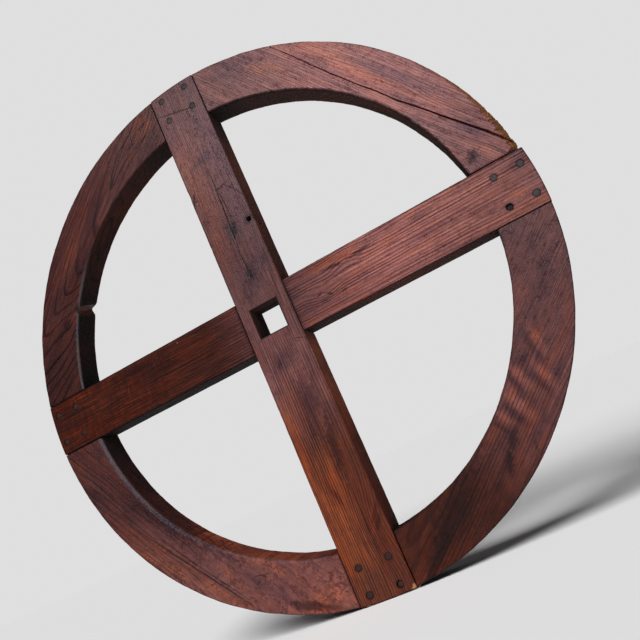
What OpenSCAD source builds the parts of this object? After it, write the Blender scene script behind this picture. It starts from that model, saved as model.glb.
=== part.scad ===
// Flat wooden drive wheel of a spinning wheel.
//
// Two spokes cross at the hub, where each is cut to half its thickness to let the
// other through: the upright one in front, the level one behind. Four felloes make
// the rim. The ends of a felloe are cut to half thickness, go behind the spoke ends
// and butt on the spoke's middle line, and two pegs hold each end. The axle goes
// through a square hole in the hub.
//
// The wheel stands in the XZ plane with its centre at the origin. It spins about +Y,
// and its front face looks along -Y.

/* [Rim] */
// Outside diameter of the wheel
wheel_d = 606; // [450:1:900]
// Width of the rim, from its outer edge to its inner edge
rim_w = 54.5; // [50:0.5:70]
// Thickness of the felloes and of the spokes
board_t = 32; // [24:1:48]

/* [Spokes] */
// Width of each spoke
spoke_w = 60.6; // [54:0.1:80]
// Side of the square axle hole
axle_hole = 32.6; // [16:0.1:38]

/* [Pegs] */
// Diameter of each peg
peg_d = 7; // [5:0.1:9]
// Distance of each peg from the middle line of its spoke
peg_aside = 16.5; // [12:0.1:20]
// Distance of the inner row of pegs from the rim's inner edge
inner_row = 17.8; // [12:0.1:20]
// Distance of the outer row of pegs from the rim's outer edge
outer_row = 9.7; // [9:0.1:14]
// Gap all round a peg in its hole
peg_gap = 0.03; // [0.01:0.01:0.1]

/* [Hidden] */
$fn = 180;
// How far a cut runs past the face it starts from
past = 1;
rim_r = wheel_d / 2;
rim_in_r = rim_r - rim_w;
half_t = board_t / 2;
half_spoke = spoke_w / 2;

// Spoke ends and rim corners in the order they follow each other, a quarter turn apart
ENDS = ["top", "left", "bottom", "right"];
CORNERS = ["top_left", "bottom_left", "bottom_right", "top_right"];
// Places of the four pegs on the top end, as [x, z]
PEG_SPOTS = [
    for (row = [rim_in_r + inner_row, rim_r - outer_row], side = [-1, 1]) [side * peg_aside, row]
];

function felloe_name(i) = str("felloe_", CORNERS[i]);
function peg_name(i, n) = str("peg_", ENDS[i], "_", n + 1);

// Turns its children from the top end to another end of the wheel
module at_end(i) {
    rotate([0, -90 * i, 0]) children();
}

// Round disc about the wheel's axis, from one Y to another
module disc(r, from_y, to_y) {
    translate([0, to_y, 0]) rotate([90, 0, 0]) cylinder(r = r, h = to_y - from_y);
}

// Block from one corner to the opposite one
module block(low, high) {
    translate(low) cube(high - low);
}

// Round rod through one peg's place on the top end
module peg_rod(spot, d, length) {
    translate([spot[0], 0, spot[1]]) rotate([90, 0, 0]) cylinder(d = d, h = length, center = true);
}

module peg_holes() {
    for (spot = PEG_SPOTS) peg_rod(spot, peg_d, board_t + 2 * past);
}

// Upright board from rim to rim, before the cut that lets the other spoke through
module spoke_board() {
    difference() {
        intersection() {
            disc(rim_r, -half_t, half_t);
            cube([spoke_w, board_t, wheel_d], center = true);
        }
        // the back half of both ends is cut away along the rim's inner edge
        difference() {
            disc(rim_r + past, 0, half_t + past);
            disc(rim_in_r, -past, half_t + 2 * past);
        }
        cube([axle_hole, board_t + 2 * past, axle_hole], center = true);
        for (i = [0, 2]) at_end(i) peg_holes();
    }
}

module spoke_upright() {
    color([0.45, 0.25, 0.21]) difference() {
        spoke_board();
        block([-half_spoke - past, 0, -half_spoke], [half_spoke + past, half_t + past, half_spoke]);
    }
}

module spoke_level() {
    color([0.48, 0.24, 0.18]) rotate([0, 90, 0]) difference() {
        spoke_board();
        block([-half_spoke - past, -half_t - past, -half_spoke], [half_spoke + past, 0, half_spoke]);
    }
}

// Quarter of the rim, from the middle line of end i to that of the next end
module felloe(i) {
    reach = rim_r + past;
    color([0.40, 0.21, 0.17]) at_end(i) difference() {
        intersection() {
            disc(rim_r, -half_t, half_t);
            block([-reach, -half_t, 0], [0, half_t, reach]);
        }
        disc(rim_in_r, -half_t - past, half_t + past);
        // the front half of both ends makes room for the spoke ends
        block([-half_spoke, -half_t - past, 0], [past, 0, reach]);
        block([-reach, -half_t - past, -past], [0, 0, half_spoke]);
        for (j = [0, 1]) at_end(j) peg_holes();
    }
}

module peg(i, n) {
    color([0.20, 0.19, 0.20]) at_end(i) peg_rod(PEG_SPOTS[n], peg_d - 2 * peg_gap, board_t);
}

spoke_upright();
spoke_level();
for (i = [0:3])
    felloe(i);
for (i = [0:3], n = [0:3])
    peg(i, n);
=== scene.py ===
"""Looks of the wooden drive wheel: worn boards with real arrises, chips and cracks, and old oiled wood."""
import math

import bmesh
import bpy
from mathutils import Matrix, Vector, noise


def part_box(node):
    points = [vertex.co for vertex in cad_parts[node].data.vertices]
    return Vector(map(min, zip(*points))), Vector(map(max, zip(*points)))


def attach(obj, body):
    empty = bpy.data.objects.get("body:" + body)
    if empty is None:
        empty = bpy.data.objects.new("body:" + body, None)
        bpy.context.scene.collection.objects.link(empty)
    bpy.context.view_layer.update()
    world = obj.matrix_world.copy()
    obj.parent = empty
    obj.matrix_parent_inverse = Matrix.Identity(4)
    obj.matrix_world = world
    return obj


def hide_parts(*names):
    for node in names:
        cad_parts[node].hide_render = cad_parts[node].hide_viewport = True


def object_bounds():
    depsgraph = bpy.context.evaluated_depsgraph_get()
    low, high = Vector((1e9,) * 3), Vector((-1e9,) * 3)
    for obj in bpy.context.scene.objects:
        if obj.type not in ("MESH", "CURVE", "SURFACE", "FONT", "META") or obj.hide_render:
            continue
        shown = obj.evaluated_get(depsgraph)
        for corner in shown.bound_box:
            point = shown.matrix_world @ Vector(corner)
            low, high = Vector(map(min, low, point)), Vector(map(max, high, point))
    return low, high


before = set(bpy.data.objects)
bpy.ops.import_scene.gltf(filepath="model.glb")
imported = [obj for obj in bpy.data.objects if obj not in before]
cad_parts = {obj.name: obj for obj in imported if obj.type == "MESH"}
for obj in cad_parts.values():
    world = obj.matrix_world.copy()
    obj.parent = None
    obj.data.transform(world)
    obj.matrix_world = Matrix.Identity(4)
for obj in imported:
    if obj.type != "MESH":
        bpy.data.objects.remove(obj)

MM = 0.001

# ---------------------------------------------------------------- sizes, all read from the frame, in mm
cad_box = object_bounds()
RIM_R = cad_box[1].z / MM
HALF_T = cad_box[1].y / MM
HALF_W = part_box("spoke_upright")[1].x / MM
RIM_IN_R = min(
    math.hypot(v.co.x, v.co.z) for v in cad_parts["felloe_top_left"].data.vertices
) / MM
HALF_HOLE = min(
    max(abs(v.co.x), abs(v.co.z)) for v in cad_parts["spoke_upright"].data.vertices
) / MM
MID_R = (RIM_R + RIM_IN_R) / 2
ENDS = ("top", "left", "bottom", "right")
CORNERS = ("top_left", "bottom_left", "bottom_right", "top_right")


def peg_place(end, number):
    """Centre line of a peg as (x, z), and its radius."""
    low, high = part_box(f"peg_{end}_{number}")
    middle = (low + high) / 2 / MM
    return middle.x, middle.z, (high.x - low.x) / 2 / MM


PEGS = {(end, n): peg_place(end, n) for end in ENDS for n in (1, 2, 3, 4)}


# ---------------------------------------------------------------- small helpers
def smooth(low, high, value):
    """0 below low, 1 above high, with a soft step between."""
    t = min(1.0, max(0.0, (value - low) / (high - low)))
    return t * t * (3 - 2 * t)


def bump_at(centre, reach, value):
    """1 at the centre, fading to nothing a few reaches away."""
    return math.exp(-(((value - centre) / reach) ** 2))


def wander(x, seed, detail=3):
    """Smooth random value from about -1 to 1 that changes once per unit of x."""
    return noise.fractal(Vector((x, seed * 7.31, seed * 1.7)), 0.6, 2.1, detail)


def edge_inset(t, radius):
    """How far a rounded edge stands back, at a distance t from the end face."""
    if t >= radius:
        return 0.0
    return radius - math.sqrt(max(0.0, radius**2 - (radius - t) ** 2))


# ---------------------------------------------------------------- swept boards
FACE_POINTS = (0.025, 0.07, 0.15, 0.26, 0.38, 0.5, 0.62, 0.74, 0.85, 0.93, 0.975)
SIDE_POINTS = (0.06, 0.2, 0.35, 0.5, 0.65, 0.8, 0.94)
CORNER_STEPS = 5


def corner(cut, turn):
    """Points of one worn corner as offsets from the sharp corner, from its first face to its second."""
    along_w, along_d, roundness = cut
    points = []
    for k in range(CORNER_STEPS + 1):
        t = k / CORNER_STEPS
        flat = (1 - t, t)
        curved = (1 - math.sin(t * math.pi / 2), 1 - math.cos(t * math.pi / 2))
        a = flat[0] + (curved[0] - flat[0]) * roundness
        b = flat[1] + (curved[1] - flat[1]) * roundness
        points.append((a * along_w, b * along_d) if turn else (b * along_w, a * along_d))
    return points


def section(w0, w1, d0, d1, cuts):
    """Closed outline of a board's cross section, starting at the middle of its w0 side.

    cuts holds the worn corners in the order (w0, d0), (w1, d0), (w1, d1), (w0, d1)."""
    near, right, far, left = cuts
    mid = len(SIDE_POINTS) // 2
    ring = []

    def side(w, start, end, points):
        ring.extend((w, start + (end - start) * f) for f in points)

    def face(d, start, end):
        ring.extend((start + (end - start) * f, d) for f in FACE_POINTS)

    side(w0, d1 - left[1], d0 + near[1], SIDE_POINTS[mid:])
    ring.extend((w0 + a, d0 + b) for a, b in corner(near, False))
    face(d0, w0 + near[0], w1 - right[0])
    ring.extend((w1 - a, d0 + b) for a, b in corner(right, True))
    side(w1, d0 + right[1], d1 - far[1], SIDE_POINTS)
    ring.extend((w1 - a, d1 - b) for a, b in corner(far, False))
    face(d1, w1 - far[0], w0 + left[0])
    ring.extend((w0 + a, d1 - b) for a, b in corner(left, True))
    side(w0, d1 - left[1], d0 + near[1], SIDE_POINTS[:mid])
    return ring


def weathered(outline, s, place, seed, broad=0.22, fine=0.06):
    """Outline whose faces sink a little and unevenly, as hand-planed wood does with age."""
    moved = []
    count = len(outline)
    for k, (w, d) in enumerate(outline):
        w0, d0 = outline[k - 1]
        w1, d1 = outline[(k + 1) % count]
        length = math.hypot(w1 - w0, d1 - d0)
        p = place(s, w, d)
        slow = 0.5 + 0.5 * noise.noise(p / 45 + Vector((seed, 0, 0)))
        quick = 0.5 + 0.5 * noise.noise(p / 7 + Vector((0, seed, 0)))
        sink = (broad * slow + fine * quick) / length
        moved.append((w - (d1 - d0) * sink, d + (w1 - w0) * sink))
    return moved


def sweep(name, stations, place, seed):
    """Mesh of a board: one closed outline per station, joined along its length and closed at both ends."""
    bm = bmesh.new()
    rings = []
    for s, outline in stations:
        rings.append([bm.verts.new(place(s, w, d) * MM) for w, d in weathered(outline, s, place, seed)])
    count = len(rings[0])
    for a, b in zip(rings, rings[1:]):
        for k in range(count):
            n = (k + 1) % count
            bm.faces.new((a[k], a[n], b[n], b[k]))
    first = len(SIDE_POINTS) - len(SIDE_POINTS) // 2 + CORNER_STEPS + 1
    last = first + len(FACE_POINTS) - 1
    for cap in (rings[0], rings[-1]):
        bm.faces.new(cap[count - first:] + cap[:first + 1])
        for k in range(first, last):
            bm.faces.new((cap[k], cap[k + 1], cap[count - k - 1], cap[count - k]))
        bm.faces.new(cap[last:count - last + 1])
    bmesh.ops.recalc_face_normals(bm, faces=bm.faces)
    mesh = bpy.data.meshes.new(name)
    bm.to_mesh(mesh)
    bm.free()
    obj = bpy.data.objects.new(name, mesh)
    bpy.context.scene.collection.objects.link(obj)
    return obj


def cut(obj, *cutters):
    """Cuts holes and cracks out of a board, then removes the cutters."""
    for tool in cutters:
        modifier = obj.modifiers.new("cut", "BOOLEAN")
        modifier.operation = "DIFFERENCE"
        modifier.solver = "EXACT"
        modifier.object = tool
    bpy.context.view_layer.update()
    depsgraph = bpy.context.evaluated_depsgraph_get()
    mesh = bpy.data.meshes.new_from_object(obj.evaluated_get(depsgraph))
    old = obj.data
    obj.modifiers.clear()
    obj.data = mesh
    mesh.name = old.name
    bpy.data.meshes.remove(old)
    for tool in cutters:
        tool_mesh = tool.data
        bpy.data.objects.remove(tool)
        bpy.data.meshes.remove(tool_mesh)


def lofted_cutter(name, loops):
    """Closed solid through a list of loops with the same number of points each."""
    bm = bmesh.new()
    rings = [[bm.verts.new(p * MM) for p in loop] for loop in loops]
    count = len(rings[0])
    for a, b in zip(rings, rings[1:]):
        for k in range(count):
            n = (k + 1) % count
            bm.faces.new((a[k], a[n], b[n], b[k]))
    bm.faces.new(rings[0])
    bm.faces.new(rings[-1])
    bmesh.ops.recalc_face_normals(bm, faces=bm.faces)
    mesh = bpy.data.meshes.new(name)
    bm.to_mesh(mesh)
    bm.free()
    obj = bpy.data.objects.new(name, mesh)
    bpy.context.scene.collection.objects.link(obj)
    return obj


def hole_cutter(x, z, radius, seed, mouth=0.45, depth=None, sides=28):
    """Cutter for a round hole with worn mouths: right through, or down to a depth from the front."""
    def loop(y, r):
        return [
            Vector((
                x + r * (1 + 0.035 * wander(k * 0.6, seed)) * math.cos(math.tau * k / sides),
                y,
                z + r * (1 + 0.035 * wander(k * 0.6, seed)) * math.sin(math.tau * k / sides),
            ))
            for k in range(sides)
        ]

    lip = 0.9
    loops = [loop(-HALF_T - 1, radius + mouth + 0.5), loop(-HALF_T + 0.1, radius + mouth),
             loop(-HALF_T + lip, radius)]
    if depth is None:
        loops += [loop(HALF_T - lip, radius), loop(HALF_T - 0.1, radius + mouth),
                  loop(HALF_T + 1, radius + mouth + 0.5)]
    else:
        loops += [loop(-HALF_T + depth, radius * 0.8)]
    return lofted_cutter("hole", loops)


def square_cutter(half, mouth=0.8):
    """Cutter for the square axle hole, with worn mouths."""
    def loop(y, h):
        return [Vector((sx * h, y, sz * h)) for sx, sz in ((-1, -1), (1, -1), (1, 1), (-1, 1))]

    lip = 1.0
    return lofted_cutter("axle_hole", [
        loop(-HALF_T - 1, half + mouth + 0.6), loop(-HALF_T, half + mouth), loop(-HALF_T + lip, half),
        loop(HALF_T - lip, half), loop(HALF_T, half + mouth), loop(HALF_T + 1, half + mouth + 0.6),
    ])


def crack_cutter(start, end, widths, depth, seed, sway=0.6, bow=0.0, steps=48, front=True):
    """V-shaped cutter along a nearly straight split between two points (x, z) of a face."""
    start, end = Vector(start), Vector(end)
    run = end - start
    across = Vector((-run.y, run.x)).normalized()
    face, inward = (-HALF_T - 0.6, 1) if front else (HALF_T + 0.6, -1)
    loops = []
    for k in range(steps + 1):
        t = k / steps
        middle = start + run * t + across * (sway * wander(t * 9, seed) + bow * math.sin(math.pi * t))
        half = 0.5 * (widths[0] + (widths[1] - widths[0]) * t) * (1 + 0.25 * wander(t * 23, seed + 3))
        left, right = middle - across * half, middle + across * half
        tip = middle + across * 0.3 * wander(t * 5, seed + 9)
        loops.append([
            Vector((left.x, face, left.y)),
            Vector((right.x, face, right.y)),
            Vector((tip.x, face + inward * (depth + 0.6), tip.y)),
        ])
    return lofted_cutter("crack", loops)


def worn_edges(cut_sizes, roundness=1.0):
    return [(a, a, roundness) for a in cut_sizes]


# ---------------------------------------------------------------- spokes
SPOKE_PITCH = 1.6
LAP_GAP = 0.35


def spoke_stations(front_at_hub, cuts_at):
    """Stations along a spoke from one rim end to the other.

    Each is a distance from the hub and the board's outline there. The hub half and the rim ends are half as thick."""
    def outline(s, lapped):
        away = RIM_R - abs(s)
        inset = edge_inset(away, 1.1)
        d0, d1 = -HALF_T, HALF_T
        at_hub = abs(s) < HALF_W + LAP_GAP
        if lapped:
            if at_hub and not front_at_hub:
                d0 = LAP_GAP
            else:
                d1 = -LAP_GAP
        step = abs(abs(s) - HALF_W - LAP_GAP)
        if not lapped and not front_at_hub and step < 0.8:
            d0 += edge_inset(step, 0.8)
        return section(-HALF_W + inset * 0.5, HALF_W - inset * 0.5, d0 + inset, d1 - inset * 0.4, cuts_at(s))

    half = []
    lap_end = HALF_W + LAP_GAP
    shoulder = RIM_IN_R + 0.9
    slant = 0.06

    def run(start, end, lapped, closing=()):
        count = max(2, round((end - start) / SPOKE_PITCH))
        half.extend((start + (end - start) * k / count, lapped) for k in range(count))
        half.extend((c, lapped) for c in closing)

    run(SPOKE_PITCH / 2, lap_end - slant, True, (lap_end - slant,))
    half.extend((lap_end + t, False) for t in (slant, 0.25, 0.5, 0.8))
    run(lap_end + 1.2, shoulder - slant, False, (shoulder - slant,))
    half.append((shoulder + slant, True))
    run(shoulder + 1.0, RIM_R - 1.2, True)
    half.extend((RIM_R - t, True) for t in (1.1, 0.7, 0.4, 0.18, 0.05, 0.0))
    both = [(-s, lapped) for s, lapped in reversed(half)] + half
    return [(s, outline(s, lapped)) for s, lapped in both]


def along_spoke(s, w):
    """Distance from the hub along the spoke: stations are straight by the hub and follow the rim's curve at its ends."""
    curve = smooth(120, 220, abs(s))
    if curve == 0:
        return s
    return math.copysign(abs(s) + (math.sqrt(s * s - w * w) - abs(s)) * curve, s)


def upright_place(s, w, d):
    return Vector((w, d, along_spoke(s, w)))


def level_place(s, w, d):
    return Vector((along_spoke(s, w), d, w))


def upright_cuts(s):
    """Worn corners of the upright spoke: left front, right front, right back, left back."""
    size = [0.9 + 0.5 * wander(s / 14, seed) for seed in (1, 2, 3, 4)]
    size[0] += 1.7 * bump_at(171, 6, s) + 0.8 * max(0.0, wander(s / 5, 5)) * smooth(60, 110, s) * smooth(-290, -250, s)
    cuts = worn_edges([max(0.4, a) for a in size])
    return cuts


def level_cuts(s):
    """Worn corners of the level spoke: lower front, upper front, upper back, lower back."""
    size = [0.9 + 0.5 * wander(s / 16, seed) for seed in (11, 12, 13, 14)]
    size[0] += 0.9 * smooth(-40, -90, s)
    size[1] += 0.5 * max(0.0, wander(s / 4, 15))
    return worn_edges([max(0.4, a) for a in size])


def peg_hole_cutters(ends):
    return [
        hole_cutter(x, z, r + 0.08, seed=ENDS.index(end) * 4 + n, mouth=0.3)
        for (end, n), (x, z, r) in PEGS.items() if end in ends
    ]


def make_upright():
    obj = sweep("worn_spoke_upright", spoke_stations(True, upright_cuts), upright_place, 3.1)
    knot_hole = hole_cutter(24.2, 109.7, 2.6, seed=40, mouth=0.5, depth=14)
    check = crack_cutter((1.5, 166), (2.5, 122), (0.2, 0.5), 3, seed=41, sway=0.8, steps=20)
    cut(obj, square_cutter(HALF_HOLE), knot_hole, check, *peg_hole_cutters(("top", "bottom")))
    return obj


def make_level():
    obj = sweep("worn_spoke_level", spoke_stations(False, level_cuts), level_place, 8.4)
    cut(obj, square_cutter(HALF_HOLE), *peg_hole_cutters(("left", "right")))
    return obj


# ---------------------------------------------------------------- felloes
FELLOE_PITCH = 1.5


def felloe_angle(quarter, s, r):
    """Angle of a station at radius r: parallel to the spoke near both ends, and pointing at the hub between."""
    whole = MID_R * math.pi / 2

    def from_end(e):
        blend = smooth(60, 150, e)
        return math.asin(min(1.0, e / r)) * (1 - blend) + e / MID_R * blend

    turn = from_end(s) if s < whole / 2 else math.pi / 2 - from_end(whole - s)
    return math.pi / 2 * (1 + quarter) + turn


def felloe_stations(quarter, cuts_at, outer_at, inner_at, end_gaps):
    """Stations along a felloe, from the middle line of one spoke to that of the next."""
    whole = MID_R * math.pi / 2
    slant = 0.06

    def outline(s, lapped):
        start_gap, end_gap = end_gaps
        edge = min(s - HALF_W - start_gap, whole - s - HALF_W - end_gap)
        inset = 0.0 if lapped else edge_inset(max(0.0, edge), 0.7)
        angle = math.degrees(felloe_angle(quarter, s, MID_R)) % 360
        d0 = LAP_GAP if lapped else -HALF_T + inset
        outer = RIM_R - outer_at(angle)
        inner = RIM_IN_R + inner_at(angle)
        return section(inner, outer, d0, HALF_T, cuts_at(angle))

    first = HALF_W + end_gaps[0]
    last = whole - HALF_W - end_gaps[1]
    list_s = []

    def run(start, end, lapped):
        count = max(2, round((end - start) / FELLOE_PITCH))
        list_s.extend((start + (end - start) * k / count, lapped) for k in range(count + 1))

    butt = LAP_GAP
    run(butt, first - slant, True)
    list_s.extend((first + t, False) for t in (slant, 0.2, 0.45))
    run(first + 0.7, last - 0.7, False)
    list_s.extend((last - t, False) for t in (0.45, 0.2, slant))
    run(last + slant, whole - butt, True)
    return [(s, outline(s, lapped)) for s, lapped in list_s]


def make_felloe(quarter, cuts_at, outer_at, inner_at, end_gaps, seed, extra=()):
    name = "worn_felloe_" + CORNERS[quarter]

    def place(s, w, d):
        angle = felloe_angle(quarter, s, w)
        return Vector((w * math.cos(angle), d, w * math.sin(angle)))

    obj = sweep(name, felloe_stations(quarter, cuts_at, outer_at, inner_at, end_gaps), place, seed)
    near_ends = (ENDS[quarter], ENDS[(quarter + 1) % 4])
    holes = [
        hole_cutter(x, z, r + 0.08, seed=ENDS.index(end) * 4 + n, mouth=0.3)
        for (end, n), (x, z, r) in PEGS.items()
        if end in near_ends and on_felloe(quarter, x, z)
    ]
    cut(obj, *holes, *extra)
    return obj


def on_felloe(quarter, x, z):
    angle = math.degrees(math.atan2(z, x)) % 360
    start = (90 + 90 * quarter) % 360
    return (angle - start) % 360 < 90


def plain_cuts(angle, seed):
    return [1.0 + 0.5 * wander(angle / 3, seed + k) for k in range(4)]


def top_left_cuts(angle):
    """Inner front, outer front, outer back, inner back."""
    size = plain_cuts(angle, 21)
    strip = smooth(136, 146, angle)
    inner = (max(0.5, size[0]) + 1.9 * strip, max(0.5, size[0]) + 1.3 * strip, 1 - 0.8 * strip)
    return [inner] + worn_edges([max(0.4, a) for a in size[1:]])


def bottom_left_cuts(angle):
    size = plain_cuts(angle, 31)
    strip = 1 - smooth(205, 252, angle) * 0.62
    width = (5.4 + 0.35 * wander(angle / 2, 33)) * strip
    depth = (3.2 + 0.25 * wander(angle / 2, 34)) * strip
    return [(width, depth, 0.15)] + worn_edges([max(0.4, a) for a in size[1:]])


def bottom_right_cuts(angle):
    return worn_edges([max(0.5, a) for a in plain_cuts(angle, 41)])


def top_right_cuts(angle):
    """The inner front corner is ragged, and the outer one is broken away towards the level spoke."""
    size = plain_cuts(angle, 51)
    ragged = 1.3 + 0.9 * wander(angle * 1.3, 52) + 0.8 * max(0.0, wander(angle * 3.1, 53))
    inner = (max(0.6, ragged), max(0.8, 1.3 * ragged), 0.5)
    broken = smooth(36, 28, angle) * smooth(2.5, 6, angle)
    deep = broken * smooth(26, 10, angle)
    chips = 1 + 0.45 * wander(angle * 1.1, 54) + 0.25 * wander(angle * 4.0, 55)
    outer = (max(0.5, size[1] + (2.2 * broken + 4.6 * deep) * chips),
             max(0.5, size[1] + (2.4 * broken + 5.5 * deep) * chips), 1 - 0.7 * broken)
    return [inner, outer] + worn_edges([max(0.4, a) for a in size[2:]])


def slightly_uneven(seed, depth):
    """Outline that wanders inwards by up to about a depth."""
    return lambda angle: depth * (0.5 + 0.5 * wander(angle / 7, seed)) + 0.15 * abs(wander(angle * 0.9, seed + 1))


def top_right_outer(angle):
    notch = 3.6 * bump_at(6.6, 0.55, angle) + 1.0 * bump_at(10.0, 1.0, angle)
    return slightly_uneven(71, 0.9)(angle) + notch


def wear_groove(obj, at_angle, depth, half_width):
    """Groove worn across the inner face of the rim, deeper towards the back."""
    for v in obj.data.vertices:
        x, y, z = v.co / MM
        r = math.hypot(x, z)
        if r > RIM_IN_R + 12:
            continue
        angle = math.degrees(math.atan2(z, x)) % 360
        off = math.radians(angle - at_angle) * r + 0.15 * (y + HALF_T) - 2.5
        share = 1 - smooth(1, 12, r - RIM_IN_R)
        push = depth * (0.45 + 0.55 * smooth(-HALF_T, HALF_T, y)) * bump_at(0, half_width, off) * share
        v.co.x *= (r + push) / r
        v.co.z *= (r + push) / r


def make_felloes():
    uneven = slightly_uneven
    top_left = make_felloe(0, top_left_cuts, uneven(61, 1.1), uneven(62, 0.8), (0.5, 0.4), 13.0)
    wear_groove(top_left, 150.6, 6.0, 5.0)
    bottom_left = make_felloe(1, bottom_left_cuts, uneven(63, 0.9), uneven(64, 0.6), (0.6, 0.3), 17.0)
    bottom_right = make_felloe(2, bottom_right_cuts, uneven(65, 0.7), uneven(66, 0.5), (1.2, 0.3), 19.0)
    long_crack = crack_cutter((119, 285), (301, 36.5), (0.8, 2.8), 13, seed=81, sway=0.9, bow=-4.5)
    back_crack = crack_cutter((119, 285), (301, 36.5), (0.5, 1.1), 4, seed=81, sway=0.9, bow=-4.5, front=False)
    top_right = make_felloe(
        3, top_right_cuts, top_right_outer, uneven(72, 0.8), (0.8, 0.4), 23.0, (long_crack, back_crack)
    )
    return [top_left, bottom_left, bottom_right, top_right]


# ---------------------------------------------------------------- pegs
# How far a peg's front end lies below the board's face, where it isn't flush
SUNK = {("bottom", 3): 1.9, ("right", 2): 2.3}


def make_peg(end, number):
    x, z, radius = PEGS[(end, number)]
    seed = ENDS.index(end) * 4 + number
    sides = 24
    sunk = SUNK.get((end, number), 0.05 + 0.12 * (1 + wander(seed * 0.7, 90)))
    tilt = Vector((wander(seed, 91), wander(seed, 92))) * 0.05

    def loop(y, r, facet):
        points = []
        for k in range(sides):
            a = math.tau * k / sides
            rr = r * (1 - facet * 0.05 * (0.5 + 0.5 * wander(k * 0.5, seed)))
            dx, dz = rr * math.cos(a), rr * math.sin(a)
            lean = (tilt.x * dx + tilt.y * dz) if facet else 0.0
            points.append(Vector((x + dx, y + abs(lean), z + dz)))
        return points

    front = -HALF_T + sunk
    back = HALF_T - 0.15
    obj = lofted_cutter(f"worn_peg_{end}_{number}", [
        loop(front, radius * 0.3, 1), loop(front + 0.02, radius * 0.66, 1), loop(front + 0.10, radius * 0.88, 1),
        loop(front + 0.35, radius * 0.98, 1), loop(front + 1.2, radius, 1), loop(0, radius, 0),
        loop(back - 1.2, radius, 1), loop(back - 0.35, radius * 0.97, 1), loop(back - 0.1, radius * 0.85, 1),
        loop(back, radius * 0.3, 1),
    ])
    return obj


# ---------------------------------------------------------------- material nodes written as arithmetic
class Value:
    """One number or vector in a material."""

    def __init__(self, graph, socket):
        self.graph, self.socket = graph, socket

    def __add__(self, other):
        return self.graph.math("ADD", self, other)

    def __sub__(self, other):
        return self.graph.math("SUBTRACT", self, other)

    def __rsub__(self, other):
        return self.graph.math("SUBTRACT", other, self)

    def __mul__(self, other):
        return self.graph.math("MULTIPLY", self, other)

    def __truediv__(self, other):
        return self.graph.math("DIVIDE", self, other)

    def __abs__(self):
        return self.graph.math("ABSOLUTE", self)

    __radd__ = __add__
    __rmul__ = __mul__


# How deep a mark goes into a board: right through it, or lost before its back face
THROUGH, SKIN = 10000, 20


class Graph:
    """A material whose nodes are made by ordinary expressions."""

    def __init__(self, name):
        self.material = bpy.data.materials.new(name)
        self.material.use_nodes = True
        self.tree = self.material.node_tree
        self.shader = self.tree.nodes["Principled BSDF"]
        place = self.node("ShaderNodeTexCoord", {}).outputs["Object"]
        self.place = Value(self, self.node(
            "ShaderNodeVectorMath", {0: Value(self, place), "Scale": 1 / MM}, operation="SCALE").outputs[0])
        parts = self.node("ShaderNodeSeparateXYZ", {0: self.place}).outputs
        self.x, self.y, self.z = (Value(self, part) for part in parts)

    def node(self, kind, inputs, **settings):
        made = self.tree.nodes.new(kind)
        for key, value in settings.items():
            setattr(made, key, value)
        for key, value in inputs.items():
            self.feed(made.inputs[key], value)
        return made

    def feed(self, socket, value):
        if isinstance(value, Value):
            self.tree.links.new(value.socket, socket)
        elif isinstance(value, tuple) and len(value) == 3 and socket.type == "RGBA":
            socket.default_value = (*value, 1)
        else:
            socket.default_value = value

    def math(self, operation, *values):
        return Value(self, self.node("ShaderNodeMath", dict(enumerate(values)), operation=operation).outputs[0])

    def hypot(self, a, b):
        return self.math("SQRT", a * a + b * b)

    def step(self, low, high, value):
        inputs = {"Value": value, "From Min": low, "From Max": high}
        return Value(self, self.node("ShaderNodeMapRange", inputs, interpolation_type="SMOOTHSTEP").outputs[0])

    def noise(self, x, y, z, detail=2.0, roughness=0.5):
        """Noise that stays mostly within plus and minus one."""
        place = self.node("ShaderNodeCombineXYZ", {0: x, 1: y, 2: z}).outputs[0]
        inputs = {"Vector": Value(self, place), "Scale": 1.0, "Detail": detail, "Roughness": roughness}
        made = self.node("ShaderNodeTexNoise", inputs).outputs[0]
        return self.math("MULTIPLY_ADD", Value(self, made), 3.2, -1.6)

    def ramp(self, value, stops):
        made = self.node("ShaderNodeValToRGB", {0: value})
        elements = made.color_ramp.elements
        while len(elements) < len(stops):
            elements.new(0.5)
        for element, (position, colour) in zip(elements, stops):
            element.position = position
            element.color = (*colour, 1)
        return Value(self, made.outputs[0])

    def mix(self, share, first, second, blend="MIX"):
        made = self.node("ShaderNodeMix", {0: share, 6: first, 7: second}, data_type="RGBA", blend_type=blend)
        return Value(self, made.outputs[2])

    def blob(self, x, z, long, short, turn=0.0, soft=0.5, ragged=0.0, edge=None, deep=THROUGH):
        """1 inside an ellipse on the front face and 0 outside it, with a soft and possibly ragged edge."""
        inputs = {
            "Vector": self.place, "Location": (x, -HALF_T, z),
            "Rotation": (0, -math.radians(turn), 0), "Scale": (long, deep, short),
        }
        local = Value(self, self.node("ShaderNodeMapping", inputs, vector_type="TEXTURE").outputs[0])
        far = Value(self, self.node("ShaderNodeVectorMath", {0: local}, operation="LENGTH").outputs["Value"])
        if ragged:
            far = far + edge * ragged
        return self.step(1 + soft, 1 - soft, far)


# ---------------------------------------------------------------- wood
DARK_GRAIN, LIGHT_GRAIN = (0.24, 0.17, 0.18), (2.1, 2.55, 2.4)


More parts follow.
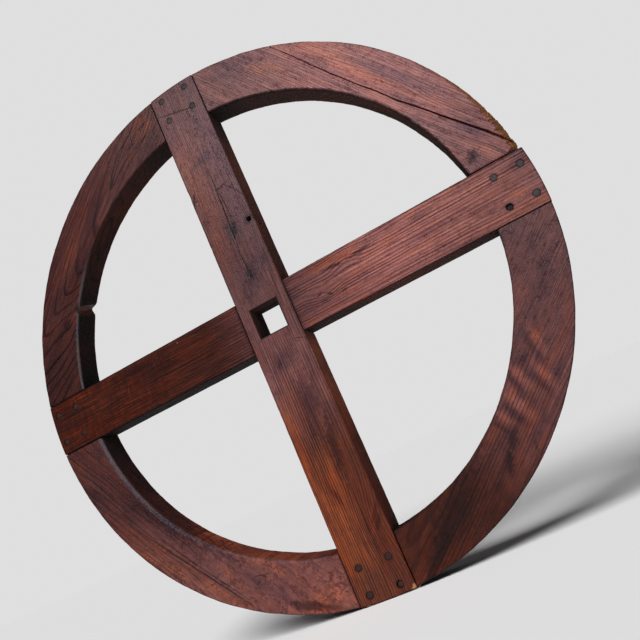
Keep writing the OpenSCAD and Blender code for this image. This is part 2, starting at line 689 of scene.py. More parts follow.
class Wood(Graph):
    """Old oiled wood of one board: growth rings, fibres, stains, wear and grime."""

    def __init__(self, name, turn, pith, ring, taper=0.0, sway=3.0, late_part=0.5, contrast=0.5, seed=0.0,
                 fine=1.0, knots=()):
        super().__init__(name)
        turn = math.radians(turn)
        self.along = self.x * math.cos(turn) + self.z * math.sin(turn)
        self.across = self.z * math.cos(turn) - self.x * math.sin(turn)
        self.radius = self.hypot(self.x, self.z)
        along, across, deep = self.along, self.across, self.y + seed * 61.0
        self.wide = wide = self.noise(along / 150, across / 38, deep / 60, 1.5)
        close = self.noise(along / 34, across / 12, deep / 12, 2.0)
        side = across - pith[0] + wide * sway + close * (0.2 * sway)
        for x, z, reach, push in knots:
            side = side + self.blob(x, z, reach * 1.7, reach, math.degrees(turn), 0.95) * push
        below = self.y - pith[1] + along * taper + wide * (0.6 * sway)
        far = self.hypot(side, below)
        rings = far / ring + self.noise(far / (ring * 6), seed, 0.0, 1.5) * 0.8
        phase = self.math("FRACT", rings)
        late = self.step(1 - late_part, 0.95, phase) * self.step(1.0, 0.955, phase)
        strength = self.step(-0.8, 0.7, self.noise(rings * 0.39, seed + 5.0, along / 240, 1.0))
        self.rings = late * (strength * 0.8 + 0.2)
        self.fibre = self.noise(along / 30, across / 0.8, deep / 0.8, 2.0, 0.6)
        self.streak = streak = self.noise(along / 90, across / 3.0, deep / 3.6, 2.5, 0.62)
        line = self.noise(along / 45, across / 1.25, deep / 1.5, 1.5, 0.6)
        self.blotch = blotch = self.noise(along / 60, across / 22, deep / 40, 3.0, 0.55)
        self.pores = pores = self.step(0.40, 0.95, self.noise(along / 6, across / 0.42, deep / 0.42, 1.0))
        self.ragged = self.noise(self.x / 4, self.y / 4, self.z / 4, 3.0)
        self.ring_tone = (self.rings - 0.35 * late_part) * contrast
        self.tone = (0.53 + (streak * 0.18 + line * 0.20 + self.fibre * 0.12) * fine + blotch * 0.13 + phase * 0.06
                     - self.ring_tone - pores * 0.22)
        self.height = (self.fibre * 0.25 + line * 0.35 - pores * 0.5 + self.rings * 0.4 + self.ragged * 0.15
                       + streak * 0.2)
        self.colour = None
        self.rough = 0.42 + blotch * 0.06 + self.fibre * 0.03 + self.ragged * 0.03 + pores * 0.12

    def lay(self, position, stops, warm=0.5, grey=0.5, age=1.0):
        """Mean colours along the board, with the grain, old stains and fine marks over them. Where they grow lighter
        and pinker towards the top and right of the wheel, they also carry part of a painted sheen.
        """
        mean = self.ramp(position, stops)
        grain = self.ramp(self.tone, ((0.0, DARK_GRAIN), (0.5, (1, 1, 1)), (1.0, LIGHT_GRAIN)))
        self.colour = self.mix(1.0, mean, grain, "MULTIPLY")
        hue = self.noise(self.along / 48, self.across / 13, self.y / 30 + 7.0, 3.0, 0.55)
        self.tint(self.step(0.0, 0.8, hue) * warm, (1.42, 1.1, 0.66))
        self.tint(self.step(0.0, -0.8, hue) * grey, (0.56, 0.58, 0.80))
        mottle = self.noise(self.along / 9, self.across / 4.5, self.y / 7 + 2.0, 4.0, 0.68)
        self.tint(self.step(0.1, 0.7, mottle) * (0.65 * age), (0.52, 0.47, 0.51))
        self.tint(self.step(-0.1, -0.7, mottle) * (0.65 * age), (1.5, 1.47, 1.32))
        specks = self.noise(self.x / 2.2, self.y / 2.2 + 9.0, self.z / 2.2, 1.0)
        self.tint(self.step(0.85, 1.05, specks) * 0.8, (0.32, 0.28, 0.30))
        self.tint(self.step(-0.95, -1.1, specks) * 0.6, (1.9, 1.9, 1.8))
        self.height = self.height - self.step(0.85, 1.05, specks) * 0.8
        lean = self.across + self.along * 0.35
        marks = self.step(0.75, 1.15, self.noise((self.along - self.across * 0.35) / 30, lean / 0.9, 3.0, 1.0))
        self.tint(marks * 0.5, (0.5, 0.46, 0.48))
        web = abs(self.noise(self.x / 8, self.y / 8, self.z / 8 + 6.0, 4.0, 0.7))
        crazed = self.step(0.09, 0.0, web) * self.step(-0.1, 0.6, mottle - hue * 0.5)
        self.tint(crazed * (0.7 * age), (0.34, 0.29, 0.31))
        self.height = self.height - crazed * 0.8
        scuff = self.step(0.07, 0.0, abs(self.noise(self.x / 15, 5.0, self.z / 15, 3.0, 0.65)))
        self.tint(scuff * self.step(0.1, 0.5, self.ragged) * 0.5, (1.8, 1.8, 1.7))
        grime = self.step(0.2, 0.95, self.noise(self.x / 17, self.y / 17, self.z / 17 + 4.0, 4.5, 0.64))
        self.tint(grime * 0.6, (0.48, 0.47, 0.54))
        self.height = self.height - marks * 0.5
        self.rough = self.rough + grime * 0.08

    def calm(self, mask, amount):
        """Weakens the growth rings under a mask."""
        self.tone = self.tone + self.ring_tone * mask * amount

    def tint(self, mask, colour):
        """Multiplies the colour under a mask."""
        self.colour = self.mix(mask, self.colour, self.mix(1.0, self.colour, colour, "MULTIPLY"))

    def cover(self, mask, colour):
        self.colour = self.mix(mask, self.colour, colour)

    def dull(self, mask, roughness=0.85):
        self.rough = self.rough + mask * (self.rough * -1.0 + roughness)

    def spot(self, x, z, long, short, turn=0.0, soft=0.5, ragged=0.35, tint=(0.3, 0.28, 0.3), depth=0.0, share=1.0):
        mask = self.blob(x, z, long, short, turn, soft, ragged, self.ragged, SKIN)
        if share != 1.0:
            mask = mask * share
        self.tint(mask, tint)
        if depth:
            self.height = self.height - mask * depth

    def halos(self, ends, share=0.6):
        """Grime that gathers round the pegs."""
        for (end, n), (x, z, r) in PEGS.items():
            if end in ends:
                mask = self.blob(x, z, r + 1.2, r + 1.2, 0, 0.3, 0.12, self.ragged) * share
                self.tint(mask, (0.42, 0.38, 0.4))

    def finish(self, shine=0.2, bump=0.55):
        self.feed(self.shader.inputs["Base Color"], self.colour)
        self.feed(self.shader.inputs["Roughness"], self.rough)
        self.shader.inputs["Specular IOR Level"].default_value = shine
        made = self.node("ShaderNodeBump", {"Height": self.height, "Strength": bump, "Distance": 0.0006})
        self.tree.links.new(made.outputs[0], self.shader.inputs["Normal"])
        return self.material


# Tones of the oiled wood, chosen
# The lighter, pinker tones, where laid towards the top and right of the wheel, also carry part of a painted sheen.
UMBER = (0.026, 0.006, 0.005)
OXBLOOD = (0.042, 0.007, 0.003)
CHERRY = (0.06, 0.015, 0.013)
PLUM = (0.085, 0.026, 0.026)
CHESTNUT = (0.10, 0.022, 0.01)
MAUVE = (0.14, 0.048, 0.045)
ROSE = (0.19, 0.06, 0.05)
CLAY = (0.24, 0.075, 0.068)


def spoke_sides(w, side, tint):
    """Duller side faces tinted as painted shade, dark arrises that are partly grime and partly painted shade, and a
    dark axle hole for a spoke; returns the mask of the sides.
    """
    off_face = w.step(HALF_W - 1.0, HALF_W - 0.5, side)
    # Dark arrises: partly grime, partly painted shade that keeps the rounded edges from catching light.
    w.tint(w.step(HALF_W - 1.9, HALF_W - 0.4, side + w.ragged * 0.6) * 0.85, (0.26, 0.20, 0.20))
    w.tint(off_face, tint)
    w.dull(off_face)
    ends = w.step(RIM_R - 1.7, RIM_R - 0.7, w.radius)
    w.tint(ends * 0.8, (0.42, 0.36, 0.34))
    w.dull(ends, 0.8)
    hole = w.step(HALF_HOLE + 2.0, HALF_HOLE + 0.6, w.math("MAXIMUM", abs(w.x), abs(w.z)))
    w.tint(hole * 0.9, (0.20, 0.15, 0.13))
    w.dull(hole, 0.95)
    return off_face


def upright_wood():
    w = Wood("upright_wood", 90, (-120, 35), 2.5, 0.0, 2.6, 0.62, 0.62, 1.0, 0.75,
             ((2, 108, 16, 9), (22, -234, 17, -9), (0, 52, 12, -7)))
    upper = w.step(-50, 70, w.z)
    w.calm(upper, 0.65)
    # The mauve tones near the hub and the top end also carry part of a painted sheen.
    w.lay((w.z + RIM_R) / (2 * RIM_R), (
        (0.0, CHESTNUT), (0.25, CHESTNUT), (0.4, MAUVE), (0.6, PLUM), (0.7, PLUM), (0.85, MAUVE), (1.0, PLUM),
    ), age=0.65)
    lower = w.step(-130, -185, w.z)
    flame = w.noise(w.x / 7 + 3, w.y / 20, w.z / 45, 3.0)
    orange = w.step(10, 1, w.x + flame * 9) * w.step(-285, -250, w.z) * lower
    w.tint(orange * w.step(-0.7, 0.4, flame), (1.9, 1.75, 1.1))
    w.tint(w.step(-14, -24, w.x + flame * 5) * w.step(-70, -115, w.z) * (1 - lower) * 0.8, (1.7, 1.35, 0.8))
    w.tint(w.step(0.35, 0.75, w.rings) * w.step(-90, -150, w.z) * w.step(22, 8, w.x) * 0.8, (0.36, 0.27, 0.30))
    w.tint(w.step(4, 16, w.x) * lower * 0.6, (0.66, 0.55, 0.6))
    w.spot(9.5, -228, 44, 0.6, 89, 0.5, 0.4, (0.35, 0.3, 0.3), 0.8)
    w.tint(w.step(0.1, 0.8, w.noise(w.x / 10 + 9, w.y / 20, w.z / 60, 2.5)) * (1 - lower) * 0.5, (0.56, 0.52, 0.60))
    stain = w.noise(w.x / 13, 2.0, w.z / 40, 3.0)
    w.tint(w.step(-0.2, 0.4, stain) * w.step(-195, -150, w.z) * w.step(-40, -80, w.z)
           * w.step(-16, 0, w.x + stain * 6) * 0.6, (0.50, 0.48, 0.62))
    w.spot(4, -100, 34, 8, 82, 0.8, 0.7, (0.55, 0.52, 0.66))
    w.spot(12, -146, 30, 5, 84, 0.7, 0.7, (0.42, 0.40, 0.50))
    w.spot(-2, -48, 14, 9, 20, 0.8, 0.6, (0.60, 0.58, 0.70))
    w.spot(15, -233, 12, 2.2, 62, 0.8, 0.5, (1.9, 1.6, 1.2))
    w.spot(20, -226, 13, 1.8, 55, 0.8, 0.5, (0.45, 0.36, 0.36))
    w.spot(-8, -196, 12, 2.5, 105, 0.8, 0.5, (0.55, 0.42, 0.40))
    # Painted shade and light on the side faces: darkened all along, then lightened on the right side of the upper arm
    # and on both sides of the lower arm.
    sides = spoke_sides(w, abs(w.x), (0.62, 0.52, 0.40))
    w.tint(sides * w.step(10, 40, w.z) * w.step(235, 190, w.z) * w.step(0, 20, w.x), (4.2, 4.4, 3.2))
    across = w.x + w.blotch * 9
    w.tint(w.step(6, -12, across) * w.step(60, 100, w.z) * w.step(260, 190, w.z) * 0.8, (1.22, 1.04, 0.76))
    w.tint(w.step(4, 18, across) * w.step(30, 80, w.z) * 0.8, (0.86, 0.92, 1.12))
    # Painted light on both sides of the lower arm.
    w.tint(sides * w.step(-20, -50, w.z) * w.step(0, 20, w.x), (6.4, 6.3, 4.4))
    w.tint(sides * w.step(-20, -50, w.z) * w.step(0, -20, w.x), (1.4, 1.6, 1.8))
    # Painted shade: a small hole in the right side face, drawn as a dark disc and not cut.
    painted_hole_reach = w.math("SQRT", (w.z - 104) * (w.z - 104) + (w.y + 4) * (w.y + 4))
    w.tint(w.step(3.4, 2.4, painted_hole_reach) * w.step(HALF_W - 1.5, HALF_W - 1.0, w.x), (0.10, 0.08, 0.08))
    # knots, stains and scratches of the upper arm
    w.spot(2, 108, 13, 6.0, 84, 0.9, 0.6, (0.40, 0.44, 0.60))
    w.spot(2, 107, 7, 3.2, 80, 0.6, 0.5, (0.14, 0.16, 0.26), 0.8)
    w.spot(2, 52, 15, 8.0, 80, 0.9, 0.7, (0.42, 0.44, 0.58))
    w.spot(0, 55, 5, 2.8, 85, 0.5, 0.6, (0.16, 0.16, 0.22), 0.8)
    w.spot(22, 62, 8, 3.5, 60, 0.9, 0.6, (0.55, 0.56, 0.72))
    w.spot(1.5, 130, 40, 0.7, 88, 0.5, 0.5, (0.12, 0.10, 0.12), 1.2)
    w.spot(5.5, 140, 26, 0.5, 93, 0.5, 0.5, (0.25, 0.2, 0.22), 1.0)
    w.spot(-1.0, 75, 22, 0.6, 94, 0.5, 0.5, (0.2, 0.17, 0.18), 1.0)
    w.spot(24.2, 109.7, 6.5, 5.0, 0, 0.6, 0.3, (0.35, 0.3, 0.3))
    w.spot(-3, 270, 23, 0.5, -16, 0.5, 0.3, (0.25, 0.22, 0.24), 1.0)
    w.spot(9, 160, 6, 0.7, 10, 0.5, 0.4, (0.35, 0.3, 0.33), 0.8)
    w.spot(20, 152, 9, 0.7, -52, 0.5, 0.4, (0.35, 0.3, 0.33), 0.8)
    w.spot(27, 141, 5, 0.7, -60, 0.5, 0.4, (0.45, 0.4, 0.42), 0.8)
    w.spot(-26.5, 163, 9, 1.2, 68, 0.5, 0.6, (0.18, 0.14, 0.14), 1.5)
    w.spot(-24.2, 157, 1.0, 0.8, 0, 0.4, 0.3, (3.6, 4.4, 4.2))
    w.spot(-13, 196, 5, 3.5, 20, 0.8, 0.6, (0.6, 0.6, 0.75))
    w.spot(5, 202, 9, 6.0, 20, 0.8, 0.6, (0.52, 0.54, 0.72))
    w.spot(22.5, -34.5, 8, 0.45, -18, 0.5, 0.2, (0.3, 0.26, 0.28), 1.0)
    w.spot(18, -35.5, 5, 0.4, -30, 0.5, 0.2, (0.4, 0.35, 0.36), 0.8)
    w.spot(-9, -50, 3.6, 2.2, 70, 0.7, 0.5, (0.45, 0.42, 0.45))
    w.spot(21, -233, 7, 3.0, 60, 0.7, 0.6, (0.5, 0.38, 0.34))
    w.spot(22, 30, 30, 2.0, 84, 0.8, 0.5, (0.6, 0.55, 0.6))
    w.halos(("top", "bottom"))
    w.cover(w.blob(29.5, -300.5, 4.0, 3.0, 30, 0.4, 0.4, w.ragged), (0.46, 0.22, 0.10))
    w.cover(w.blob(-22, -303, 3.0, 1.5, 0, 0.4, 0.4, w.ragged), (0.30, 0.14, 0.07))
    return w.finish()


def level_wood():
    w = Wood("level_wood", 0, (-140, 50), 3.0, 0.02, 2.6, 0.7, 0.62, 2.0, 1.0, ((100, 17, 9, -5), (66, -6, 8, 5)))
    left = w.step(-20, -60, w.x)
    w.calm(left, 0.4)
    # Darker at the left end, and lighter and pinker at the right, where the light tones also carry part of a painted
    # sheen.
    w.lay((w.x + RIM_R) / (2 * RIM_R), (
        (0.0, OXBLOOD), (0.38, OXBLOOD), (0.48, PLUM), (0.56, PLUM), (0.74, CLAY), (0.9, ROSE), (1.0, MAUVE),
    ), 0.9, 0.6, 0.6)
    w.tint(w.step(0.1, 0.9, w.streak) * w.step(40, 110, w.x) * 0.7, (1.35, 1.15, 0.72))
    w.tint(w.step(0.45, 0.85, w.rings) * w.step(30, 80, w.x) * 0.45, (0.5, 0.38, 0.40))
    wavy = w.noise(w.x / 30, w.y / 20, w.z / 2.6 + w.wide * 2.2, 2.5)
    w.tint(w.step(0.05, 0.6, wavy) * left * 0.6, (0.34, 0.26, 0.32))
    w.tint(w.step(-0.1, -0.7, wavy) * left * 0.6, (2.1, 2.0, 1.6))
    curl = w.noise(w.x / 5, 3.0, w.z / 16 + w.wide, 3.0, 0.6)
    curly = w.step(-110, -160, w.x + w.blotch * 20)
    w.tint(w.step(0.0, 0.6, curl) * curly * 0.7, (1.6, 1.6, 1.3))
    w.tint(w.step(0.0, -0.6, curl) * curly * 0.7, (0.60, 0.52, 0.60))
    w.tint(w.step(0.4, 0.8, w.rings) * left * w.step(6, -8, w.z) * w.step(-215, -190, w.x) * 0.7, (0.35, 0.28, 0.34))
    # Painted shadow beside the upright, where the level spoke passes behind it at the hub.
    w.tint(w.step(HALF_W + 5, HALF_W + 0.6, abs(w.x)) * 0.6, (0.35, 0.3, 0.32))
    # Side faces darkened as painted shade.
    spoke_sides(w, abs(w.z), (0.36, 0.26, 0.19))
    w.spot(86, 16, 9, 1.8, -4, 0.6, 0.5, (0.30, 0.24, 0.27), 0.6)
    w.spot(118, 16.5, 12, 2.0, 5, 0.6, 0.5, (0.28, 0.22, 0.25), 0.6)
    w.spot(62, -4, 3.0, 1.0, 20, 0.6, 0.5, (0.35, 0.3, 0.32), 1.0)
    w.spot(72, -8, 4.0, 1.4, -30, 0.6, 0.5, (0.35, 0.3, 0.32), 1.0)
    w.spot(88, -12, 3.0, 1.6, 10, 0.6, 0.5, (0.5, 0.42, 0.42), 0.8)
    w.spot(190, 20, 14, 3.0, 0, 0.7, 0.5, (0.6, 0.55, 0.6))
    w.spot(292, 20, 12, 7.0, 30, 0.7, 0.5, (0.62, 0.6, 0.66))
    w.spot(-111, 25, 1.0, 0.8, 0, 0.4, 0.3, (6.0, 14.0, 18.0))
    w.spot(-190, 5, 8, 0.8, 75, 0.6, 0.4, (2.0, 2.2, 2.0), 0.5)
    for k in range(6):
        w.spot(-190 + 12 * k + 3 * wander(k, 7), 12 + 4 * wander(k, 8), 14, 0.35, 78 + 6 * wander(k, 9), 0.5, 0.25,
               (0.45, 0.4, 0.42), 0.6)
    w.halos(("right",))
    w.halos(("left",), 0.3)
    return w.finish(0.13)


def felloe_wood(name, quarter, stops, inside, warm=0.5, grey=0.5, age=1.0, calm=(2.0, 3.0), **grain):
    """Wood of one felloe, with its inner face, rim face and seams. The inner face's tint is painted light and shade
    with some grime, and the dark arrises are partly painted shade.
    """
    w = Wood(name, **grain)
    angle = w.math("ARCTAN2", w.z, w.x) * (180 / math.pi)
    w.share = w.math("FRACT", (angle - 90 - 90 * quarter) / 360 + 2.0) * 4.0
    quiet = w.step(*calm, w.share)
    w.calm(quiet, 0.7)
    w.tone = w.tone + (w.tone * -1.0 + 0.53) * quiet * 0.5
    w.lay(w.share, stops, warm, grey, age)
    w.inner, w.outer, w.front = w.radius - RIM_IN_R, RIM_R - w.radius, w.y + HALF_T
    below_face = w.step(0.9, 1.8, w.math("MINIMUM", HALF_T - abs(w.y), 20.0))
    inner_face = w.step(2.2, 1.0, w.inner) * below_face
    # Painted light and shade with some grime: the inner face is tinted darker where it faces down or away from the
    # light, and lighter where it faces up.
    w.tint(inner_face, inside)
    w.dull(inner_face)
    w.inner_face = inner_face
    outer_face = w.step(2.6, 1.2, w.outer) * below_face
    w.tint(outer_face * 0.6, (0.5, 0.42, 0.40))
    w.dull(outer_face, 0.7)
    # Dark inner front and outer arrises: partly grime, partly painted shade that keeps the rounded edges from catching
    # light.
    w.tint(w.step(2.6, 0.6, w.inner + w.ragged * 0.6) * w.step(2.5, 0.5, w.front) * 0.7, (0.30, 0.24, 0.24))
    w.tint(w.step(2.4, 0.5, w.outer + w.ragged * 0.6) * 0.9, (0.24, 0.19, 0.19))
    from_middle = w.math("MINIMUM", abs(w.x), abs(w.z))
    w.tint(w.step(2.6, 0.7, from_middle - HALF_W + w.ragged * 0.7) * w.step(20, 12, w.front) * 0.55,
           (0.33, 0.28, 0.28))
    w.tint(w.step(1.8, 0.3, from_middle + w.ragged * 0.4) * 0.8, (0.25, 0.21, 0.21))
    # Painted shade: the inner face darkened in the corners next to the spokes.
    w.tint(w.step(HALF_W + 55, HALF_W + 8, from_middle + w.blotch * 12) * inner_face * 0.8, (0.26, 0.22, 0.22))
    return w


def top_left_wood():
    w = felloe_wood("top_left_wood", 0, (
        (0.0, CHERRY), (0.45, CHERRY), (1.0, UMBER),
    ), (0.40, 0.28, 0.20), 0.8, 0.6,
        turn=40, pith=(258, 0.5), ring=5.0, taper=0.12, sway=5.0, late_part=0.34, contrast=0.85, seed=3.0,
        fine=1.25, knots=((-60, 277, 15, 9),))
    w.spot(-53, 288, 13, 6, 42, 0.8, 0.6, (1.6, 1.3, 0.85))
    w.spot(-44, 277, 7, 3.5, 50, 0.8, 0.6, (1.8, 1.5, 0.9))
    w.spot(-52, 281, 6, 1.6, 20, 0.6, 0.6, (0.35, 0.28, 0.32), 0.8)
    w.spot(-72, 270, 12, 0.7, 82, 0.5, 0.5, (0.3, 0.25, 0.3), 0.8)
    w.spot(-61, 264, 13, 0.7, 27, 0.5, 0.5, (0.3, 0.25, 0.3), 0.8)
    w.spot(-105, 250, 50, 0.7, 47, 0.5, 0.5, (0.35, 0.3, 0.34), 0.8)
    w.spot(-190, 206, 70, 9, 52, 0.9, 0.5, (1.25, 1.15, 1.0))
    w.spot(-170, 196, 60, 7, 50, 0.9, 0.5, (0.66, 0.62, 0.74))
    # Painted highlight: the worn inner front chamfer is covered with a bluish grey where it catches the light.
    worn = w.step(3.4, 2.0, w.math("MAXIMUM", w.inner, w.front)) * w.step(0.5, 0.62, w.share)
    w.cover(worn * 0.75, (0.12, 0.10, 0.112))
    # Painted shade: the inner face darkened towards the left end, where it faces away from the light.
    w.tint(w.inner_face * w.step(0.52, 0.68, w.share), (0.28, 0.24, 0.24))
    w.tint(w.blob(-238, 68, 20, 14, 72, 0.6, 0.3, w.ragged) * w.inner_face, (3.2, 2.6, 1.5))
    w.spot(-240, 110, 7, 5, 40, 0.7, 0.5, (0.4, 0.35, 0.35))
    w.halos(("top",))
    w.halos(("left",), 0.4)
    return w.finish()


def bottom_left_wood():
    w = felloe_wood("bottom_left_wood", 1, (
        (0.0, CHERRY), (0.3, CHERRY), (0.6, MAUVE), (0.85, ROSE), (1.0, ROSE),
    ), (1.15, 0.80, 0.46), 0.8, 0.8,
        calm=(0.52, 0.70), turn=-54, pith=(-222, 6), ring=4.6, taper=0.05, sway=6.0, late_part=0.42, contrast=0.58,
        seed=4.0, fine=0.7, knots=((-75, -256, 12, 6), (-118, -238, 12, -5)))
    # Painted highlight: the worn inner front chamfer is covered with a bluish grey where it catches the light.
    worn = w.step(5.6, 4.4, w.math("MAXIMUM", w.inner, w.front * 1.7) + w.share * 2.4 + w.ragged * 0.3)
    w.cover(worn * w.step(0.62, 0.34, w.share) * (w.blotch * 0.3 + 0.75), (0.085, 0.066, 0.080))
    figure = w.noise(w.along / 26, w.across / 12, 8.0, 3.0, 0.6)
    w.tint(w.step(0.0, 0.7, figure) * w.step(0.45, 0.7, w.share) * 0.7, (1.45, 1.3, 1.0))
    w.tint(w.step(0.0, -0.7, figure) * 0.7, (0.58, 0.54, 0.66))
    w.spot(-183, -168, 44, 8, -46, 0.9, 0.5, (0.55, 0.50, 0.62))
    w.spot(-200, -214, 58, 8, -47, 0.9, 0.5, (1.35, 1.25, 1.0))
    w.spot(-206, -150, 40, 6, -54, 0.9, 0.5, (0.50, 0.45, 0.58))
    w.spot(-243, -168, 44, 6, -54, 0.9, 0.5, (1.4, 1.3, 1.1))
    creases = w.step(0.20, 0.04, abs(w.noise(w.x / 13, 2.0, w.z / 13, 4.0, 0.72)))
    w.tint(creases * w.step(-0.4, 0.3, figure) * w.step(0.3, 0.5, w.share) * 0.9, (0.42, 0.34, 0.36))
    w.height = w.height - creases * 0.5
    w.spot(-207, -131, 2.5, 0.9, -60, 0.5, 0.4, (4.0, 4.5, 4.5))
    w.spot(-118, -238, 7, 0.6, -10, 0.5, 0.6, (0.35, 0.3, 0.3), 0.8)
    w.spot(-124, -244, 5, 0.5, 40, 0.5, 0.6, (0.35, 0.3, 0.3), 0.8)
    w.spot(-52, -284, 20, 9, -20, 0.9, 0.6, (1.5, 1.4, 1.1))
    # Painted shade on the inner face towards the left end, and painted light on it where it faces up.
    w.tint(w.inner_face * w.step(0.36, 0.16, w.share), (0.34, 0.28, 0.30))
    w.tint(w.inner_face * w.step(0.14, 0.0, abs(w.share - 0.52)), (1.5, 1.35, 1.1))
    w.spot(-265, -92, 48, 0.7, -58, 0.5, 0.4, (0.14, 0.11, 0.12), 1.2)
    w.spot(-183, -212, 78, 0.8, -49, 0.5, 0.4, (0.25, 0.2, 0.2), 0.8)
    w.spot(-176, -214, 60, 0.5, -50, 0.5, 0.4, (0.3, 0.25, 0.25), 0.6)
    w.spot(-74, -285, 26, 5.0, -24, 0.5, 0.6, (0.36, 0.28, 0.30))
    w.spot(-66, -292, 16, 2.6, -18, 0.5, 0.6, (1.9, 1.7, 1.4))
    w.spot(-75, -256, 3.0, 1.6, -40, 0.7, 0.6, (0.4, 0.33, 0.32), 0.8)
    w.spot(-115, -240, 4, 1.2, -30, 0.6, 0.6, (0.4, 0.34, 0.34), 0.8)
    w.spot(-230, -110, 40, 14, -58, 0.9, 0.3, (0.70, 0.62, 0.72))
    w.halos(("left",), 0.4)
    w.halos(("bottom",))
    return w.finish()


def bottom_right_wood():
    w = felloe_wood("bottom_right_wood", 2, (
        (0.0, OXBLOOD), (0.3, OXBLOOD), (0.5, PLUM), (1.0, PLUM),
    ), (0.5, 0.34, 0.24), 0.8, 0.6,
        calm=(0.55, 0.75), turn=41, pith=(-222, 16), ring=2.9, taper=0.02, sway=3.4, late_part=0.5, contrast=0.60,
        seed=5.0, fine=0.8)
    cloud = w.noise(w.along / 22, w.across / 14, 4.0, 3.0, 0.6)
    w.tint(w.step(0.0, 0.7, cloud) * 0.65, (0.56, 0.50, 0.60))
    w.tint(w.step(0.0, -0.7, cloud) * 0.65, (1.4, 1.35, 1.2))
    w.spot(96, -250, 46, 12, 41, 0.8, 0.5, (0.34, 0.34, 0.44))
    w.spot(62, -284, 26, 5, 41, 0.8, 0.5, (0.42, 0.38, 0.46))
    w.spot(172, -212, 13, 4, 55, 0.8, 0.6, (0.36, 0.34, 0.42))
    w.spot(160, -230, 11, 4, 70, 0.8, 0.6, (0.40, 0.36, 0.44))
    w.spot(212, -150, 6, 3, 41, 0.8, 0.6, (0.45, 0.4, 0.46))
    # Bright and dark bands of the wood's figure; their chatoyant shimmer is painted in as highlight and shade.
    for x, z, long, short, turn in ((232, -140, 15, 3.4, -84), (224, -170, 14, 3.8, -72), (203, -160, 16, 3.8, -76),
                                    (192, -188, 14, 4.0, -66), (174, -192, 10, 3.0, -60)):
        w.spot(x, z, long, short, turn, 0.9, 0.6, (2.0, 1.85, 1.45), share=0.85)
        w.spot(x - 7, z - 6, long * 0.9, short * 0.8, turn, 0.9, 0.5, (0.42, 0.37, 0.42), share=0.75)
    w.tint(w.step(0.1, 0.7, w.streak) * w.step(26, 8, w.outer) * w.step(0.8, 0.6, w.share) * 0.8, (1.8, 1.8, 1.5))
    w.halos(("bottom", "right"))
    return w.finish()


def top_right_wood():
    # The clay and mauve tones of this felloe also carry part of a painted sheen, and its nearly black inner face is
    # painted shade with some grime.
    w = felloe_wood("top_right_wood", 3, (
        (0.0, MAUVE), (0.4, CLAY), (0.6, CLAY), (0.85, MAUVE), (1.0, MAUVE),
    ), (0.13, 0.11, 0.085), 0.5, 0.8, 0.6,
        turn=-54, pith=(380, 45), ring=2.3, taper=0.02, sway=4.0, late_part=0.6, contrast=0.44, seed=6.0)
    w.tint(w.step(0.15, 0.9, w.noise(w.along / 80, w.across / 6, 1.0, 2.5)) * 0.7, (0.52, 0.46, 0.52))
    w.spot(165, 244, 42, 12, -50, 0.9, 0.4, (1.2, 1.08, 0.85))
    w.spot(215, 165, 46, 5, -54, 0.9, 0.4, (1.3, 1.1, 0.8))
    w.spot(112, 252, 24, 7, -40, 0.9, 0.5, (1.3, 1.2, 0.85))
    w.spot(232, 158, 30, 7, -54, 0.9, 0.5, (0.62, 0.62, 0.8))
    w.spot(205, 196, 26, 3, -54, 0.9, 0.5, (0.6, 0.55, 0.62))
    w.spot(75, 278, 26, 10, 0, 0.9, 0.4, (0.75, 0.72, 0.85))
    w.spot(268, 72, 16, 6, -54, 0.9, 0.5, (0.6, 0.62, 0.8))
    w.spot(259, 45, 7.5, 4.5, 30, 0.8, 1.0, (0.24, 0.2, 0.24), 1.2)
    w.spot(112, 266, 2.2, 1.6, 0, 0.5, 0.4, (0.3, 0.27, 0.3))
    w.spot(251, 96, 5.0, 1.2, -60, 0.5, 0.5, (0.4, 0.34, 0.34), 0.8)
    # Dark ragged inner front arris: partly grime, partly painted shade.
    rag = w.math("MAXIMUM", w.inner, w.front * 0.8) + w.ragged * 1.3
    w.tint(w.step(3.4, 2.2, rag) * 0.85, (0.22, 0.16, 0.15))
    deep = w.math("MINIMUM", w.front, w.outer)
    reach = w.step(0.42, 0.14, w.share) * 7.5 + 1.2 + w.ragged * 1.6
    torn = w.step(0.5, 1.2, deep + w.ragged * 0.3) * w.step(0.8, -0.8, w.outer - reach) \
        * w.step(0.42, 0.36, w.share) * w.step(12, 9, w.front)
    straw = w.ramp(w.fibre * 0.4 + 0.5, (
        (0.0, (0.05, 0.018, 0.008)), (0.5, (0.26, 0.09, 0.028)), (1.0, (0.52, 0.25, 0.09))))
    w.cover(torn, straw)
    w.height = w.height + torn * w.fibre * 1.2
    w.halos(("right", "top"))
    return w.finish()


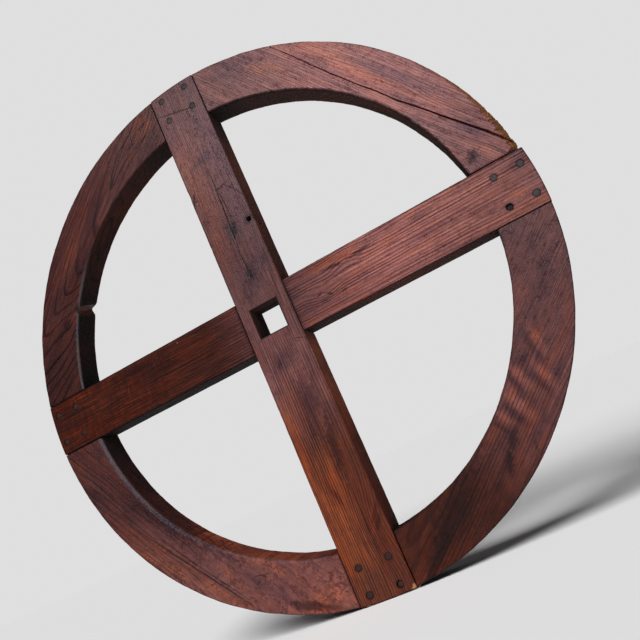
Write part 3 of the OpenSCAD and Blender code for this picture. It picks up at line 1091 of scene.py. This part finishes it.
def peg_wood():
    """End grain of dark pegs, each a little different."""
    g = Graph("peg_wood")
    grain = g.noise(g.x / 0.7, g.y / 6, g.z / 0.7, 3.0, 0.6)
    each = g.noise(g.x / 23, 0.0, g.z / 23, 0.0)
    tone = 0.5 + grain * 0.28 + each * 0.22
    front = g.ramp(tone, ((0.0, (0.012, 0.009, 0.010)), (0.5, (0.042, 0.034, 0.036)), (1.0, (0.11, 0.085, 0.08))))
    pale = g.blob(*PEGS[("bottom", 3)][:2], 3.2, 3.2, 0, 0.3)
    front = g.mix(pale * 0.5, front, (0.24, 0.13, 0.09))
    dark = g.blob(*PEGS[("right", 2)][:2], 4, 4, 0, 0.2)
    front = g.mix(dark * 0.85, front, (0.012, 0.006, 0.005))
    faint = g.step(-240, -250, g.x) * 0.85 + g.step(-240, -250, g.z) * 0.8
    front = g.mix(faint, front, (0.028, 0.0095, 0.0065))
    g.feed(g.shader.inputs["Base Color"], front)
    g.feed(g.shader.inputs["Roughness"], 0.5 + grain * 0.1)
    g.shader.inputs["Specular IOR Level"].default_value = 0.2
    made = g.node("ShaderNodeBump", {"Height": grain, "Strength": 0.6, "Distance": 0.0004})
    g.tree.links.new(made.outputs[0], g.shader.inputs["Normal"])
    return g.material


# ---------------------------------------------------------------- building everything
def finish_mesh(obj, angle=38):
    obj.data.polygons.foreach_set("use_smooth", [True] * len(obj.data.polygons))
    obj.data.set_sharp_from_angle(angle=math.radians(angle))


def take_place(obj, node):
    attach(obj, "root")
    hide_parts(node)


upright = make_upright()
level = make_level()
felloes = make_felloes()
pegs = {key: make_peg(*key) for key in PEGS}

for obj in [upright, level, *felloes, *pegs.values()]:
    finish_mesh(obj)

woods = {obj: make() for obj, make in (
    (upright, upright_wood), (level, level_wood), (felloes[0], top_left_wood), (felloes[1], bottom_left_wood),
    (felloes[2], bottom_right_wood), (felloes[3], top_right_wood),
)}
for obj, material in woods.items():
    obj.data.materials.append(material)
pegs_material = peg_wood()
for obj in pegs.values():
    obj.data.materials.append(pegs_material)

take_place(upright, "spoke_upright")
take_place(level, "spoke_level")
for corner_name, obj in zip(CORNERS, felloes):
    take_place(obj, "felloe_" + corner_name)
for (end, number), obj in pegs.items():
    take_place(obj, f"peg_{end}_{number}")

# ---------------------------------------------------------------- stage, light and camera
scene = bpy.context.scene
scene.view_settings.view_transform = "Standard"


def make_floor():
    mesh = bpy.data.meshes.new("floor")
    bm = bmesh.new()
    bmesh.ops.create_circle(bm, cap_ends=True, segments=96, radius=12)
    bm.to_mesh(mesh)
    bm.free()
    floor = bpy.data.objects.new("floor", mesh)
    floor.location.z = cad_box[0].z
    scene.collection.objects.link(floor)
    material = bpy.data.materials.new("floor")
    material.use_nodes = True
    shader = material.node_tree.nodes["Principled BSDF"]
    shader.inputs["Base Color"].default_value = (0.82, 0.82, 0.82, 1)
    shader.inputs["Roughness"].default_value = 0.95
    shader.inputs["Specular IOR Level"].default_value = 0.0
    mesh.materials.append(material)


def make_sheen(place, aim, size, power, colour):
    """Soft window-like light that only shows as a sheen on the wood."""
    data = bpy.data.lights.new("sheen", "AREA")
    data.size = size
    data.energy = power
    data.color = colour
    light = bpy.data.objects.new("sheen", data)
    light.location = place
    light.rotation_euler = (Vector(aim) - Vector(place)).to_track_quat("-Z", "Y").to_euler()
    light.visible_diffuse = False
    scene.collection.objects.link(light)


def make_sky(seen, cast):
    """A plain pale background as seen by the camera, with its own strength as a light."""
    world = bpy.data.worlds.new("studio")
    scene.world = world
    world.use_nodes = True
    tree = world.node_tree
    background = tree.nodes["Background"]
    path = tree.nodes.new("ShaderNodeLightPath")
    strength = tree.nodes.new("ShaderNodeMapRange")
    strength.inputs["To Min"].default_value = cast
    strength.inputs["To Max"].default_value = seen
    tree.links.new(path.outputs["Is Camera Ray"], strength.inputs["Value"])
    tree.links.new(strength.outputs[0], background.inputs["Strength"])
    background.inputs["Color"].default_value = (1, 1, 1, 1)


def make_sun(place, strength, spread):
    data = bpy.data.lights.new("sun", "SUN")
    data.energy = strength
    data.angle = math.radians(spread)
    sun = bpy.data.objects.new("sun", data)
    sun.rotation_euler = (-Vector(place)).to_track_quat("-Z", "Y").to_euler()
    sun.visible_glossy = False
    scene.collection.objects.link(sun)


make_floor()
make_sky(0.74, 0.07)
make_sun((-0.35, -0.75, 0.95), 3.4, 40)
make_sheen((0.25, -1.35, 1.0), (0.1, 0, 0.05), 1.0, 34, (0.88, 0.94, 1.0))

camera_data = bpy.data.cameras.new("camera")
camera_data.lens = 35.3
camera_data.sensor_width = 36
camera_data.clip_start = 0.01
camera = bpy.data.objects.new("camera", camera_data)
camera_place = Vector((0.2220, -0.6235, -0.1709))
camera_aim = Vector((0.0510, -0.016, -0.0281))
camera_roll = math.radians(-24.16)
look = (camera_aim - camera_place).to_track_quat("-Z", "Y").to_matrix()
camera.matrix_world = Matrix.Translation(camera_place) @ (look @ Matrix.Rotation(camera_roll, 3, "Z")).to_4x4()
scene.collection.objects.link(camera)
scene.camera = camera
